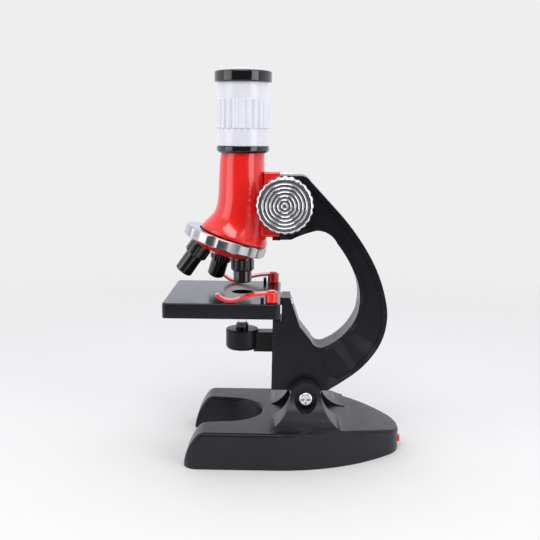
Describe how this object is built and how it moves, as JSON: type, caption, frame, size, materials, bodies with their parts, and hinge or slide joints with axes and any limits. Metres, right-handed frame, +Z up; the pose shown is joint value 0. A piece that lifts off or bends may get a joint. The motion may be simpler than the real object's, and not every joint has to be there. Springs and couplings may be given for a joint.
{
  "type": "toy microscope",
  "caption": "Toy compound microscope with a tilting C-shaped arm on a forked base, rack focus, three-objective turret, pull-out eyepiece and a battery lamp.",
  "frame": {"origin": "on the floor under the centre of the whole object's box", "axes": "+Z up along the optical axis; -X towards the stage and the open fork of the base; Y is the left-right symmetry axis, along the tilt pivot and the focus shaft"},
  "size_m": [0.1358, 0.0834, 0.2185],
  "materials": {
    "satin_black": "satin moulded",
    "gloss_black": "gloss",
    "gloss_red": "gloss moulded",
    "gloss_white": "gloss moulded",
    "chrome_plate": "vacuum-plated plastic",
    "zinc_steel": "bright zinc",
    "contact_brass": "plated spring brass",
    "cell_wrap": "gloss wrap",
    "clear_lens": "polished",
    "white_nylon": "nylon",
    "wire_sleeve": "pvc sleeve"
  },
  "bodies": {
    "base": {"base_shell": "satin_black", "base_bottom_plate": "satin_black", "base_screws": "zinc_steel", "battery_door": "satin_black", "battery_door_screw": "zinc_steel", "battery_holder": "satin_black", "battery_cell_1": "cell_wrap", "battery_cell_2": "cell_wrap", "battery_springs": "zinc_steel", "battery_contacts": "contact_brass", "base_leads": "wire_sleeve", "switch_housing": "satin_black", "pivot_bolt": "zinc_steel", "pivot_nut": "zinc_steel", "pivot_washers": "white_nylon"},
    "switch": {"switch_slider": "gloss_red"},
    "arm": {"arm_shell_near": "satin_black", "arm_shell_far": "satin_black", "arm_screws": "zinc_steel", "stage_plate": "satin_black", "stage_screws": "zinc_steel", "clip_posts": "gloss_red", "lamp_housing": "satin_black", "lamp_socket": "gloss_black", "led_bulb": "clear_lens", "lamp_leads": "wire_sleeve"},
    "clip_near": {"stage_clip_near": "gloss_red"},
    "clip_far": {"stage_clip_far": "gloss_red"},
    "knob": {"focus_shaft": "zinc_steel", "pinion_gear": "white_nylon", "focus_knob_near": "chrome_plate", "focus_knob_far": "chrome_plate"},
    "tube": {"body_tube": "gloss_red", "focus_slide": "gloss_red", "slide_screws": "zinc_steel", "turret_axle": "zinc_steel"},
    "turret": {"turret_ring": "chrome_plate", "turret_dome": "gloss_red", "objective_short": "gloss_black", "objective_medium": "gloss_black", "objective_long": "gloss_black", "lens_short": "clear_lens", "lens_medium": "clear_lens", "lens_long": "clear_lens"},
    "eyepiece": {"eyepiece_barrel": "gloss_white", "eyepiece_top_ring": "gloss_black", "eyepiece_bottom_ring": "gloss_black", "eyepiece_draw_tube": "gloss_white", "field_lens": "clear_lens", "eye_lens_retainer": "gloss_white", "eye_lens": "clear_lens"}
  },
  "joints": [
    {"name": "arm_tilt", "type": "hinge", "parent": "base", "child": "arm", "pos_m": [0.0114, 0, 0.0337], "axis": [0, 1, 0], "range_deg": [0, 40]},
    {"name": "tube_focus", "type": "slide", "parent": "arm", "child": "tube", "axis": [0, 0, 1], "range_m": [0, 0.012]},
    {"name": "knob_spin", "type": "hinge", "parent": "arm", "child": "knob", "pos_m": [-0.0019, 0, 0.1446], "axis": [0, 1, 0], "range_deg": [-2, 146]},
    {"name": "turret_spin", "type": "hinge", "parent": "tube", "child": "turret", "pos_m": [-0.0259, 0, 0.153], "axis": [0.3007, 0, 0.9537], "continuous": true},
    {"name": "eyepiece_draw", "type": "slide", "parent": "tube", "child": "eyepiece", "axis": [0, 0, 1], "range_m": [0, 0.018]},
    {"name": "clip_near_swing", "type": "hinge", "parent": "arm", "child": "clip_near", "pos_m": [-0.0084, -0.0305, 0.095], "axis": [0, 0, 1], "range_deg": [-35, 20]},
    {"name": "clip_far_swing", "type": "hinge", "parent": "arm", "child": "clip_far", "pos_m": [-0.0084, 0.0305, 0.095], "axis": [0, 0, 1], "range_deg": [-20, 35]},
    {"name": "switch_slide", "type": "slide", "parent": "base", "child": "switch", "axis": [0, 1, 0], "range_m": [0, 0.004]}
  ],
  "couplings": [
    {"joint": "knob_spin", "follows": "tube_focus", "rad_per_m": 208.33}
  ]
}
